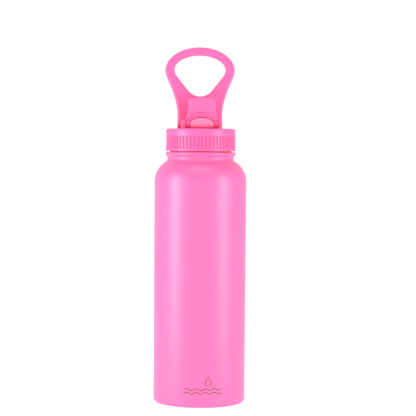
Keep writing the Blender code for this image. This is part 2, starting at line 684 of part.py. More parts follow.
def build():
    clear_scene()
    powder = material("pink_powder_coat", (0.93, 0.26, 0.55), 0.45)
    moulded = material("pink_moulded_plastic", (0.95, 0.22, 0.50), 0.38)
    loop_look = material("pink_loop_plastic", (0.93, 0.16, 0.42), 0.42)
    soft = material("pink_silicone", (0.95, 0.30, 0.58), 0.55)
    steel = material("stainless_steel", (0.62, 0.62, 0.60), 0.32, 1.0)
    clear = material("natural_plastic", (0.86, 0.86, 0.84), 0.40)
    white = material("white_silicone", (0.85, 0.85, 0.84), 0.60)
    foam = material("white_foam", (0.88, 0.87, 0.82), 0.90)
    bead = material("sealing_glass", (0.20, 0.18, 0.16), 0.25)
    getter = material("getter_metal", (0.35, 0.35, 0.36), 0.60, 1.0)

    make_outer_shell(powder)
    make_inner_flask(steel)
    make_base(steel, bead, getter)
    loop_bore = make_lid_shell(moulded)
    make_lid_inside(clear, foam, white)
    straw = make_straw(clear)
    spout_pieces = make_spout(moulded, soft)
    make_spout_pins(steel)
    loop = make_carry_loop(loop_look, steel, loop_bore)
    pivot("spout_fold_axis", spout_hinge, spout_pieces)
    pivot("loop_fold_axis", loop_hinge, [loop])
    pivot("straw_pull_axis", (0, spout_y, straw_top), [straw])


build()
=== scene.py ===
import json
from math import acos, cos, pi, radians, sin, sqrt, tau

import bmesh
import bpy
from mathutils import Matrix, Vector
from mathutils.geometry import interpolate_bezier


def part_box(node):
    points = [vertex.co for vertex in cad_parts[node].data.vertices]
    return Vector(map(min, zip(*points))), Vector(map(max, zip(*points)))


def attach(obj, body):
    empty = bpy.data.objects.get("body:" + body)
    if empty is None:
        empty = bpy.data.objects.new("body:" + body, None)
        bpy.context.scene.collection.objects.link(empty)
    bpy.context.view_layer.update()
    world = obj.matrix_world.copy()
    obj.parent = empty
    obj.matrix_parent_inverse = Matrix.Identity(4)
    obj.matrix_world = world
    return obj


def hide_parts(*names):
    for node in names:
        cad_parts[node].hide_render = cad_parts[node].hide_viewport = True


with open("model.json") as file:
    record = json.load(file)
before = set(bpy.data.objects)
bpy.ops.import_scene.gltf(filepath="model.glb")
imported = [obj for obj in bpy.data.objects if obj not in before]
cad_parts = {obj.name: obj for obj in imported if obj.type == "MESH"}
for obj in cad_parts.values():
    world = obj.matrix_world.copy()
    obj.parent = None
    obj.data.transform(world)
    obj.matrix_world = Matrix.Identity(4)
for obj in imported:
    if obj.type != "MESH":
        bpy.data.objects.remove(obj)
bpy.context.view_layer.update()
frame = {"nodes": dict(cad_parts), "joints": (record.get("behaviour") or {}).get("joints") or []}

mm = 0.001


# Outlines are drawn in the XZ plane. A tip is the last vertex of a chain, and each call moves it on.

def startAt(bm, x, z):
    return bm.verts.new((x, 0, z))


def lineTo(bm, tip, x, z):
    after = bmesh.ops.extrude_vert_indiv(bm, verts=[tip])["verts"][0]
    after.co = (x, 0, z)
    return after


def arcTo(bm, tip, centreX, centreZ, angle, steps):
    # a positive angle goes from +X towards +Z
    swept = bmesh.ops.spin(bm, geom=[tip], cent=(centreX, 0, centreZ), axis=(0, -1, 0), angle=angle,
                           steps=steps)
    return [item for item in swept["geom_last"] if isinstance(item, bmesh.types.BMVert)][0]


def curveTo(bm, tip, leave, arrive, end, steps):
    start = Vector((tip.co.x, tip.co.z))
    for point in interpolate_bezier(start, Vector(leave), Vector(arrive), Vector(end), steps + 1)[1:]:
        tip = lineTo(bm, tip, point.x, point.y)
    return tip


def close(bm, tip, first):
    bm.edges.new((tip, first))


def turnRound(bm, steps):
    # spin a whole outline about the bottle's axis and close the poles
    bmesh.ops.spin(bm, geom=bm.verts[:] + bm.edges[:], cent=(0, 0, 0), axis=(0, 0, 1), angle=tau,
                   steps=steps, use_merge=True)
    bmesh.ops.remove_doubles(bm, verts=bm.verts, dist=0.001 * mm)
    bmesh.ops.recalc_face_normals(bm, faces=bm.faces)


def thicken(bm, low, high):
    # fill a closed outline in the XZ plane and extrude it from y = low to y = high
    face = bmesh.ops.contextual_create(bm, geom=bm.edges[:])["faces"][0]
    bmesh.ops.translate(bm, verts=bm.verts, vec=(0, low, 0))
    grown = bmesh.ops.extrude_face_region(bm, geom=[face], use_keep_orig=True)
    moved = [item for item in grown["geom"] if isinstance(item, bmesh.types.BMVert)]
    bmesh.ops.translate(bm, verts=moved, vec=(0, high - low, 0))
    bmesh.ops.recalc_face_normals(bm, faces=bm.faces)


def reflect(bm):
    # the other half of an outline that starts and ends on x = 0
    bmesh.ops.mirror(bm, geom=bm.verts[:] + bm.edges[:], axis="X", merge_dist=0.001 * mm)
    bmesh.ops.remove_doubles(bm, verts=bm.verts, dist=0.001 * mm)


def roundEdges(bm, edges, width, segments):
    bmesh.ops.bevel(bm, geom=edges, offset=width, offset_type="OFFSET", affect="EDGES", segments=segments,
                    profile=0.5, clamp_overlap=True, material=-1)


def sharpEdges(bm, degrees):
    return [e for e in bm.edges if e.is_manifold and e.calc_face_angle() > radians(degrees)]


def edgesAbove(bm, degrees, height):
    return [e for e in sharpEdges(bm, degrees) if max(v.co.z for v in e.verts) > height]


def standAcross(bm, side=1):
    # turn a shape whose outline was drawn across X, so that the outline stands across Y
    turned = Matrix(((0, side, 0), (1, 0, 0), (0, 0, 1)))
    bmesh.ops.transform(bm, matrix=turned.to_4x4(), verts=bm.verts)
    bmesh.ops.recalc_face_normals(bm, faces=bm.faces)


def rod(radius, low, high, sides, edge=0.0, axis="Z", at=(0, 0, 0)):
    # a round bar between two places on its axis, with rounded ends where edge is given
    bm = bmesh.new()
    bmesh.ops.create_cone(bm, cap_ends=True, segments=sides, radius1=radius, radius2=radius,
                          depth=high - low, matrix=Matrix.Translation((0, 0, (low + high) / 2)))
    if edge:
        rims = [e for e in bm.edges if abs(e.verts[0].co.z - e.verts[1].co.z) < 1e-9]
        roundEdges(bm, rims, edge, 3)
    if axis == "X":
        bmesh.ops.rotate(bm, verts=bm.verts, cent=(0, 0, 0), matrix=Matrix.Rotation(pi / 2, 3, "Y"))
    bmesh.ops.translate(bm, verts=bm.verts, vec=at)
    return bm


def bar(lowCorner, highCorner):
    bm = bmesh.new()
    size = Vector(highCorner) - Vector(lowCorner)
    middle = (Vector(highCorner) + Vector(lowCorner)) / 2
    bmesh.ops.create_cube(bm, size=1, matrix=Matrix.Translation(middle) @ Matrix.Diagonal((*size, 1)))
    return bm


def finishMesh(name, bm, smoothAngle=38):
    mesh = bpy.data.meshes.new(name)
    bm.to_mesh(mesh)
    bm.free()
    mesh.shade_smooth()
    mesh.set_sharp_from_angle(angle=radians(smoothAngle))
    made = bpy.data.objects.new(name, mesh)
    bpy.context.scene.collection.objects.link(made)
    return made


def carve(bm, tools, how):
    # join tools to a solid or cut them out of it; the tools are used up
    target = finishMesh("target", bm)
    helpers = []
    for tool in tools:
        helper = finishMesh("tool", tool)
        helpers.append(helper)
        step = target.modifiers.new("carve", "BOOLEAN")
        step.operation = how
        step.solver = "EXACT"
        step.object = helper
    depsgraph = bpy.context.evaluated_depsgraph_get()
    depsgraph.update()
    result = bmesh.new()
    carved = target.evaluated_get(depsgraph).to_mesh()
    result.from_mesh(carved)
    for used in [target, *helpers]:
        mesh = used.data
        bpy.data.objects.remove(used)
        bpy.data.meshes.remove(mesh)
    return result


def place(piece, body, slot, look, *nodes):
    piece.data.materials.append(look)
    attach(piece, body)
    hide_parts(*nodes)
    return piece


def flatten(piece):
    # keeps broad flat faces flat in the shading, beside rounded edges
    step = piece.modifiers.new("flatFaces", "WEIGHTED_NORMAL")
    step.keep_sharp = True


def hexColour(code):
    parts = [int(code[i:i + 2], 16) / 255 for i in (1, 3, 5)]
    linear = [c / 12.92 if c <= 0.04045 else ((c + 0.055) / 1.055) ** 2.4 for c in parts]
    return (*linear, 1)


def addNode(tree, kind, settings=None, links=None):
    node = tree.nodes.new(kind)
    for key, value in (settings or {}).items():
        if isinstance(key, str) and hasattr(node, key):
            setattr(node, key, value)
        else:
            node.inputs[key].default_value = value
    for key, source in (links or {}).items():
        tree.links.new(source, node.inputs[key])
    return node


def newLook(name, roughness, metallic=0.0, ior=1.5):
    look = bpy.data.materials.new(name)
    look.use_nodes = True
    tree = look.node_tree
    shader = tree.nodes["Principled BSDF"]
    shader.inputs["Roughness"].default_value = roughness
    shader.inputs["Metallic"].default_value = metallic
    if not metallic:
        shader.inputs["IOR"].default_value = ior
    where = addNode(tree, "ShaderNodeTexCoord").outputs["Object"]
    return look, tree, shader, where


def perMetre(size):
    # noise scale for features of a size in metres
    return 1 / size


def mottle(tree, where, size, detail, low, high):
    # a slow cloudy blend of two colours
    cloud = addNode(tree, "ShaderNodeTexNoise", {"Scale": perMetre(size), "Detail": detail},
                    {"Vector": where})
    ramp = addNode(tree, "ShaderNodeMix", {"data_type": "RGBA", 6: low, 7: high},
                   {0: cloud.outputs["Fac"]})
    return ramp.outputs[2]


def vary(tree, where, size, low, high):
    # a number that wanders between two values over the surface
    cloud = addNode(tree, "ShaderNodeTexNoise", {"Scale": perMetre(size), "Detail": 3.0}, {"Vector": where})
    span = addNode(tree, "ShaderNodeMapRange",
                   {"From Min": 0.3, "From Max": 0.7, "To Min": low, "To Max": high},
                   {"Value": cloud.outputs["Fac"]})
    return span.outputs["Result"]


def relief(tree, shader, where, size, height, detail=2.0, before=None):
    # a fine bump, laid over the one that came before it
    cloud = addNode(tree, "ShaderNodeTexNoise", {"Scale": perMetre(size), "Detail": detail},
                    {"Vector": where})
    links = {"Height": cloud.outputs["Fac"]}
    if before:
        links["Normal"] = before
    bump = addNode(tree, "ShaderNodeBump", {"Strength": 1.0, "Distance": height}, links)
    tree.links.new(bump.outputs["Normal"], shader.inputs["Normal"])
    return bump.outputs["Normal"]


mark = {"halfWidth": 19 * mm, "low": 13 * mm, "pitch": 3.6 * mm, "stroke": 1.1 * mm,
        "swell": 0.8 * mm, "wave": 9 * mm, "dropX": 5 * mm, "dropLow": 21.2 * mm, "dropHeight": 10 * mm,
        "dropHalf": 3.4 * mm}


def markMask(tree, where):
    # a plain drop over two waves, cut through the coat: 1 on the mark, 0 beside it
    m = mark
    kind = "ShaderNodeMath"
    axes = addNode(tree, "ShaderNodeSeparateXYZ", {}, {"Vector": where})
    x, y, z = axes.outputs
    turn = addNode(tree, kind, {"operation": "MULTIPLY", 1: tau / m["wave"]}, {0: x})
    ripple = addNode(tree, kind, {"operation": "SINE"}, {0: turn.outputs[0]})
    flat = addNode(tree, kind, {"operation": "MULTIPLY_ADD", 1: -m["swell"]}, {0: ripple.outputs[0], 2: z})
    row = addNode(tree, "ShaderNodeMapRange",
                  {"clamp": False, 1: m["low"], 2: m["low"] + m["pitch"], 3: 0.0, 4: 1.0},
                  {0: flat.outputs[0]})
    inRow = addNode(tree, kind, {"operation": "FRACT"}, {0: row.outputs[0]})
    wave = addNode(tree, kind, {"operation": "COMPARE", 1: 0.5, 2: m["stroke"] / m["pitch"] / 2},
                   {0: inRow.outputs[0]})
    inRows = addNode(tree, kind, {"operation": "COMPARE", 1: 1.0, 2: 1.0}, {0: row.outputs[0]})
    inWidth = addNode(tree, kind, {"operation": "COMPARE", 1: 0.0, 2: m["halfWidth"]}, {0: x})
    waves = addNode(tree, kind, {"operation": "MULTIPLY"}, {0: wave.outputs[0], 1: inRows.outputs[0]})
    waves = addNode(tree, kind, {"operation": "MULTIPLY"}, {0: waves.outputs[0], 1: inWidth.outputs[0]})

    # the drop's half-width at each height: a root that fades to a point at the top
    rise = addNode(tree, "ShaderNodeMapRange", {1: m["dropLow"], 2: m["dropLow"] + m["dropHeight"]}, {0: z})
    root = addNode(tree, kind, {"operation": "SQRT"}, {0: rise.outputs[0]})
    left = addNode(tree, kind, {"operation": "SUBTRACT", 0: 1.0}, {1: rise.outputs[0]})
    half = addNode(tree, kind, {"operation": "MULTIPLY"}, {0: root.outputs[0], 1: left.outputs[0]})
    widest = 0.385    # the most that root times left comes to
    half = addNode(tree, kind, {"operation": "MULTIPLY", 1: m["dropHalf"] / widest}, {0: half.outputs[0]})
    across = addNode(tree, kind, {"operation": "SUBTRACT", 1: m["dropX"]}, {0: x})
    across = addNode(tree, kind, {"operation": "ABSOLUTE"}, {0: across.outputs[0]})
    depth = addNode(tree, kind, {"operation": "SUBTRACT"}, {0: half.outputs[0], 1: across.outputs[0]})
    line = addNode(tree, kind, {"operation": "COMPARE", 1: m["stroke"] / 2, 2: m["stroke"] / 2},
                   {0: depth.outputs[0]})
    inDrop = addNode(tree, kind, {"operation": "COMPARE", 1: 0.5, 2: 0.495}, {0: rise.outputs[0]})
    drop = addNode(tree, kind, {"operation": "MULTIPLY"}, {0: line.outputs[0], 1: inDrop.outputs[0]})

    both = addNode(tree, kind, {"operation": "MAXIMUM"}, {0: waves.outputs[0], 1: drop.outputs[0]})
    front = addNode(tree, kind, {"operation": "LESS_THAN", 1: 0.0}, {0: y})
    shown = addNode(tree, kind, {"operation": "MULTIPLY"}, {0: both.outputs[0], 1: front.outputs[0]})
    return shown.outputs[0]


def powderCoatLook():
    # polyester powder coat on steel, baked: a satin skin with a soft orange peel about 2 mm across
    look, tree, shader, where = newLook("satinPowderCoat", 0.42, ior=1.58)
    coat = mottle(tree, where, 60 * mm, 2.0, hexColour("#f65c99"), hexColour("#f9629e"))
    # the mark is a real logo; its flat dark tint is a painted reflection of the bare steel, not a metallic
    # finish
    markPaintedSteelReflection = markMask(tree, where)
    tint = addNode(tree, "ShaderNodeMix", {"data_type": "RGBA", 7: hexColour("#553c52")}, {0: markPaintedSteelReflection, 6: coat})
    tree.links.new(tint.outputs[2], shader.inputs["Base Color"])
    tree.links.new(vary(tree, where, 3 * mm, 0.39, 0.46), shader.inputs["Roughness"])
    peel = relief(tree, shader, where, 2.2 * mm, 0.012 * mm)
    relief(tree, shader, where, 0.5 * mm, 0.004 * mm, 1.0, peel)
    return look


def mouldedLook(name, dark, light, roughness):
    # injection moulded polypropylene: satin, with the fine spark-eroded grain of its mould
    look, tree, shader, where = newLook(name, roughness, ior=1.49)
    tree.links.new(mottle(tree, where, 25 * mm, 2.0, hexColour(dark), hexColour(light)),
                   shader.inputs["Base Color"])
    tree.links.new(vary(tree, where, 2 * mm, roughness - 0.04, roughness + 0.04), shader.inputs["Roughness"])
    grain = relief(tree, shader, where, 0.9 * mm, 0.01 * mm)
    relief(tree, shader, where, 12 * mm, 0.02 * mm, 1.0, grain)
    return look


def siliconeLook(name, dark, light):
    # moulded silicone rubber: matt, faintly dusty, with a broad sheen at glancing angles
    look, tree, shader, where = newLook(name, 0.6, ior=1.42)
    shader.inputs["Sheen Weight"].default_value = 0.15
    shader.inputs["Sheen Roughness"].default_value = 0.5
    tree.links.new(mottle(tree, where, 8 * mm, 3.0, hexColour(dark), hexColour(light)),
                   shader.inputs["Base Color"])
    tree.links.new(vary(tree, where, 1.5 * mm, 0.55, 0.66), shader.inputs["Roughness"])
    relief(tree, shader, where, 0.6 * mm, 0.008 * mm)
    return look


def spunSteelLook():
    # 18/8 stainless steel, spun and brushed on a lathe: fine rings about the bottle's axis
    look, tree, shader, where = newLook("spunStainlessSteel", 0.3, 1.0)
    shader.inputs["Anisotropic"].default_value = 0.4
    rings = addNode(tree, "ShaderNodeTexWave",
                    {"wave_type": "RINGS", "rings_direction": "Z", "Scale": perMetre(8 * mm),
                     "Distortion": 1.5, "Detail": 4.0, "Detail Scale": 3.0}, {"Vector": where})
    tint = addNode(tree, "ShaderNodeMix",
                   {"data_type": "RGBA", 6: hexColour("#b9b8b6"), 7: hexColour("#cfcecb")},
                   {0: rings.outputs["Fac"]})
    tree.links.new(tint.outputs[2], shader.inputs["Base Color"])
    tree.links.new(vary(tree, where, 4 * mm, 0.24, 0.36), shader.inputs["Roughness"])
    bump = addNode(tree, "ShaderNodeBump", {"Strength": 0.6, "Distance": 0.01 * mm},
                   {"Height": rings.outputs["Fac"]})
    tree.links.new(bump.outputs["Normal"], shader.inputs["Normal"])
    return look


def grainyLook(name, dark, light, roughness, size, height, metallic=0.0):
    # pressed, foamed or fused stuff inside the bottle: a plain grainy surface
    look, tree, shader, where = newLook(name, roughness, metallic)
    tree.links.new(mottle(tree, where, size, 4.0, hexColour(dark), hexColour(light)),
                   shader.inputs["Base Color"])
    tree.links.new(vary(tree, where, size * 2, roughness - 0.05, roughness + 0.05),
                   shader.inputs["Roughness"])
    relief(tree, shader, where, size, height, 4.0)
    return look


powderCoat = powderCoatLook()
lidPlastic = mouldedLook("mouldedPolypropylene", "#f65795", "#f85f9b", 0.42)
loopPlastic = mouldedLook("mouldedLoopPolypropylene", "#f65695", "#f85d9b", 0.45)
pinkSilicone = siliconeLook("pinkSilicone", "#f65c9b", "#f864a1")
# the seal pad's copy of the pink silicone, painted lighter: a painted highlight for the light the pad catches
paintedLitSilicone = siliconeLook("palePinkSilicone", "#fb80ac", "#fc88b3")
whiteSilicone = siliconeLook("whiteSilicone", "#dddcd8", "#e9e8e5")
spunSteel = spunSteelLook()
naturalPlastic = mouldedLook("naturalPolypropylene", "#dedfdc", "#e6e7e4", 0.35)
foamLook = grainyLook("closedCellFoam", "#e4e0d3", "#f0ede2", 0.85, 1.2 * mm, 0.15 * mm)
glassBead = grainyLook("fusedSealingGlass", "#3a342f", "#4c453f", 0.25, 3 * mm, 0.01 * mm)
getterLook = grainyLook("pressedGetterPowder", "#5c5c60", "#77777b", 0.6, 0.8 * mm, 0.03 * mm, 1.0)
print("materials made")


# heights and radii that several pieces share, taken from the frame
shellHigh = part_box("outer_shell")[1]
lidLow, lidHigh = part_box("lid_shell")
ventLow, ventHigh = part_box("vent_valve")
ribCrest = lidHigh[0] - 0.2 * mm
deckZ = ventHigh[2]            # the frame's flat deck
lidTop = deckZ + 0.4 * mm      # the visible deck's low rim
seatZ = lidLow[2] - 0.6 * mm
pivots = {joint["name"]: joint["pos_m"] for joint in frame["joints"] if "pos_m" in joint}
hinge = {"spoutY": pivots["spout_fold"][1], "spoutZ": pivots["spout_fold"][2],
         "loopY": pivots["loop_fold"][1], "loopZ": pivots["loop_fold"][2]}

bottle = {
    "radius": shellHigh[0],
    "wall": 0.5 * mm,
    "corner": 4 * mm,                # round of the lower edge
    "ringInner": 37.5 * mm,          # the flat ring that it stands on starts here
    "shoulder": 23 * mm,             # radius of the shoulder's curve
    "shoulderZ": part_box("inner_flask")[1][2] - 46.62 * mm,
    "groove": ribCrest - 1.8 * mm,   # radius at the neck groove's deepest ring
    "grooveZ": seatZ - 6.2 * mm,
    "bead": ribCrest + 0.3 * mm,
    "beadZ": seatZ - 1.9 * mm,
    "seatZ": seatZ - 0.5 * mm,
    "neck": ribCrest - 4.1 * mm,
    "rimZ": shellHigh[2],
    "steps": 192,
}


def makeBottleShell():
    b = bottle
    wall = b["wall"]
    ringOuter = b["radius"] - b["corner"]
    centre = b["radius"] - b["shoulder"]
    turn = acos((b["groove"] + 1.7 * mm - centre) / b["shoulder"])
    endX = centre + b["shoulder"] * cos(turn)
    endZ = b["shoulderZ"] + b["shoulder"] * sin(turn)
    slope = Vector((-sin(turn), cos(turn)))
    roll = b["seatZ"] - b["beadZ"]
    bm = bmesh.new()
    first = startAt(bm, b["ringInner"], wall)
    tip = lineTo(bm, first, b["ringInner"], wall * 0.5)
    tip = arcTo(bm, tip, b["ringInner"] + wall * 0.5, wall * 0.5, pi / 2, 3)
    tip = lineTo(bm, tip, ringOuter, 0)
    tip = arcTo(bm, tip, ringOuter, b["corner"], pi / 2, 10)
    for share in (0.25, 0.5, 0.75, 1):
        tip = lineTo(bm, tip, b["radius"], b["corner"] + (b["shoulderZ"] - b["corner"]) * share)
    tip = arcTo(bm, tip, centre, b["shoulderZ"], turn, 18)
    leave = Vector((endX, endZ)) + slope * 1.8 * mm
    tip = curveTo(bm, tip, leave, (b["groove"], b["grooveZ"] - 1.5 * mm), (b["groove"], b["grooveZ"]), 8)
    tip = curveTo(bm, tip, (b["groove"], b["grooveZ"] + 1.9 * mm), (b["bead"], b["beadZ"] - 2 * mm),
                  (b["bead"], b["beadZ"]), 8)
    tip = arcTo(bm, tip, b["bead"] - roll, b["beadZ"], pi / 2, 6)
    tip = lineTo(bm, tip, b["neck"] + 0.4 * mm, b["seatZ"])
    tip = arcTo(bm, tip, b["neck"] + 0.4 * mm, b["seatZ"] + 0.4 * mm, -pi / 2, 3)
    tip = lineTo(bm, tip, b["neck"], b["rimZ"] - 0.2 * mm)
    tip = lineTo(bm, tip, b["neck"] - 0.15 * mm, b["rimZ"])
    tip = lineTo(bm, tip, b["neck"] - wall, b["rimZ"])
    tip = lineTo(bm, tip, b["neck"] - wall, b["seatZ"] - wall)
    tip = lineTo(bm, tip, b["bead"] - roll, b["seatZ"] - wall)
    tip = arcTo(bm, tip, b["bead"] - roll, b["beadZ"], -pi / 2, 5)
    inGroove = b["groove"] - wall
    tip = curveTo(bm, tip, (b["bead"] - wall, b["beadZ"] - 2 * mm), (inGroove, b["grooveZ"] + 1.9 * mm),
                  (inGroove, b["grooveZ"]), 6)
    inside = Vector((centre + (b["shoulder"] - wall) * cos(turn),
                     b["shoulderZ"] + (b["shoulder"] - wall) * sin(turn)))
    tip = curveTo(bm, tip, (inGroove, b["grooveZ"] - 1.5 * mm), inside + slope * 1.8 * mm, inside, 6)
    tip = arcTo(bm, tip, centre, b["shoulderZ"], -turn, 12)
    tip = lineTo(bm, tip, b["radius"] - wall, b["corner"])
    tip = arcTo(bm, tip, ringOuter, b["corner"], -pi / 2, 6)
    close(bm, tip, first)
    turnRound(bm, b["steps"])
    return bm


thread = {"pitch": 5 * mm, "turns": 1.25, "root": 2 * mm, "crest": 1 * mm, "depth": 1.4 * mm,
          "lowZ": seatZ + 3.2 * mm, "steps": 90}


def makeThread(wall, depth, lowZ):
    # one ridge swept up a helix; a negative depth stands inwards from the wall
    root = wall - 0.3 * mm if depth > 0 else wall + 0.3 * mm
    bm = bmesh.new()
    first = startAt(bm, root, lowZ - thread["root"] / 2)
    tip = lineTo(bm, first, wall + depth, lowZ - thread["crest"] / 2)
    tip = lineTo(bm, tip, wall + depth, lowZ + thread["crest"] / 2)
    tip = lineTo(bm, tip, root, lowZ + thread["root"] / 2)
    close(bm, tip, first)
    climb = thread["pitch"] * thread["turns"] / thread["steps"]
    bmesh.ops.spin(bm, geom=bm.verts[:] + bm.edges[:], cent=(0, 0, 0), axis=(0, 0, 1), dvec=(0, 0, climb),
                   angle=tau * thread["turns"], steps=thread["steps"])
    ends = [e for e in bm.edges if e.is_boundary]
    bmesh.ops.holes_fill(bm, edges=ends, sides=4)
    bmesh.ops.recalc_face_normals(bm, faces=bm.faces)
    return bm


neckThread = makeThread(bottle["neck"], thread["depth"], thread["lowZ"])
shellMesh = carve(makeBottleShell(), [neckThread], "UNION")
place(finishMesh("bottleShell", shellMesh), "bottle", "powder_coat", powderCoat, "outer_shell")
print("bottle shell made")


liner = {"inner": 41.1 * mm, "wall": 0.4 * mm, "corner": 6 * mm, "floorZ": 9 * mm, "mouth": 28.3 * mm,
         "lip": 30.5 * mm, "roll": 0.6 * mm, "rimZ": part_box("inner_flask")[1][2], "steps": 128}


def makeLiner():
    n = liner
    outer = n["inner"] + n["wall"]
    cornerX = outer - n["corner"]
    cornerZ = n["floorZ"] - n["wall"] + n["corner"]
    centre = bottle["radius"] - bottle["shoulder"]
    reach = outer - centre
    turn = acos((n["mouth"] + n["wall"] + 1.5 * mm - centre) / reach)
    neckX = n["mouth"] + n["wall"]
    bm = bmesh.new()
    tip = startAt(bm, 0, n["floorZ"] - n["wall"])
    tip = lineTo(bm, tip, cornerX, n["floorZ"] - n["wall"])
    tip = arcTo(bm, tip, cornerX, cornerZ, pi / 2, 6)
    tip = lineTo(bm, tip, outer, bottle["shoulderZ"])
    tip = arcTo(bm, tip, centre, bottle["shoulderZ"], turn, 10)
    tip = curveTo(bm, tip, (neckX + 0.3 * mm, bottle["grooveZ"] - 3 * mm),
                  (neckX, bottle["grooveZ"] - 1.5 * mm), (neckX, bottle["grooveZ"]), 5)
    tip = lineTo(bm, tip, neckX, n["rimZ"] - n["roll"])
    tip = lineTo(bm, tip, n["lip"], n["rimZ"] - n["roll"])
    tip = arcTo(bm, tip, n["lip"] - n["roll"], n["rimZ"] - n["roll"], pi / 2, 4)
    tip = lineTo(bm, tip, n["mouth"] + n["roll"], n["rimZ"])
    tip = arcTo(bm, tip, n["mouth"] + n["roll"], n["rimZ"] - n["roll"], pi / 2, 4)
    tip = lineTo(bm, tip, n["mouth"], bottle["grooveZ"])
    innerEnd = (centre + (reach - n["wall"]) * cos(turn),
                bottle["shoulderZ"] + (reach - n["wall"]) * sin(turn))
    tip = curveTo(bm, tip, (n["mouth"], bottle["grooveZ"] - 1.5 * mm),
                  (n["mouth"] + 0.3 * mm, bottle["grooveZ"] - 3.2 * mm), innerEnd, 5)
    tip = arcTo(bm, tip, centre, bottle["shoulderZ"], -turn, 8)
    tip = lineTo(bm, tip, n["inner"], cornerZ)
    tip = arcTo(bm, tip, cornerX, cornerZ, -pi / 2, 5)
    lineTo(bm, tip, 0, n["floorZ"])
    turnRound(bm, n["steps"])
    return bm


place(finishMesh("linerFlask", makeLiner()), "bottle", "stainless_steel", spunSteel, "inner_flask")


baseDisc = {"radius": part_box("base_cap")[1][0], "lowZ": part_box("base_cap")[0][2], "wall": 0.5 * mm,
            "step": 30 * mm, "bead": 0.15 * mm, "dimple": 5 * mm, "dimpleDeep": 0.2 * mm}


def makeBaseDisc():
    # a pressed disc: a flat flange, a shallow ring pressed inwards, and a dimple in the middle
    d = baseDisc
    low = d["lowZ"]
    ring = low + d["bead"]
    dent = low + d["dimpleDeep"]
    bm = bmesh.new()
    tip = startAt(bm, 0, dent)
    tip = curveTo(bm, tip, (d["dimple"] * 0.6, dent), (d["dimple"] * 0.6, low), (d["dimple"], low), 6)
    tip = lineTo(bm, tip, d["step"], low)
    tip = curveTo(bm, tip, (d["step"] + 0.5 * mm, low), (d["step"] + 0.5 * mm, ring),
                  (d["step"] + 1 * mm, ring), 4)
    tip = curveTo(bm, tip, (d["step"] + 1.6 * mm, ring), (d["step"] + 1.6 * mm, low),
                  (d["step"] + 2.2 * mm, low), 4)
    tip = lineTo(bm, tip, d["radius"] - 0.1 * mm, low)
    tip = lineTo(bm, tip, d["radius"], low + 0.1 * mm)
    tip = lineTo(bm, tip, d["radius"], low + d["wall"])
    lineTo(bm, tip, 0, low + d["wall"])
    turnRound(bm, 128)
    return bm


place(finishMesh("baseDisc", makeBaseDisc(), 20), "bottle", "stainless_steel", spunSteel, "base_cap")
print("liner and base made")


lid = {
    "lowZ": lidLow[2], "deckZ": lidTop, "underZ": deckZ - 2.2 * mm,
    "inner": ribCrest - 2.2 * mm, "crest": ribCrest - 0.15 * mm, "lip": lidHigh[0], "lipHigh": 2.4 * mm,
    "band": ribCrest - 0.2 * mm, "bandZ": lidLow[2] + 14.7 * mm, "edge": 1.5 * mm,
    "ribs": 58, "firstRib": radians(-95.8), "grooveDeep": 1.05 * mm, "columnsPerRib": 10,
    "dish": 30.6 * mm, "dishDeep": 0.75 * mm,
    "towerIn": 16.3 * mm, "towerOut": 19.9 * mm, "towerDeep": 10 * mm, "towerTop": deckZ + 9.2 * mm,
    "towerRound": 2.5 * mm, "towerEdge": 0.6 * mm, "blockHalf": 12 * mm, "blockEdge": 0.5 * mm,
    "knuckle": 4.3 * mm, "sunk": 1.5 * mm, "grooveFade": 1.6 * mm,
    "boss": 2.0 * mm, "bossZ": deckZ + 0.4 * mm, "vent": 1.2 * mm,
    "ventX": (ventLow[0] + ventHigh[0]) / 2, "ventY": (ventLow[1] + ventHigh[1]) / 2,
    "port": 3.5 * mm, "spoutBore": 1.4 * mm, "loopBore": 1.8 * mm,
}


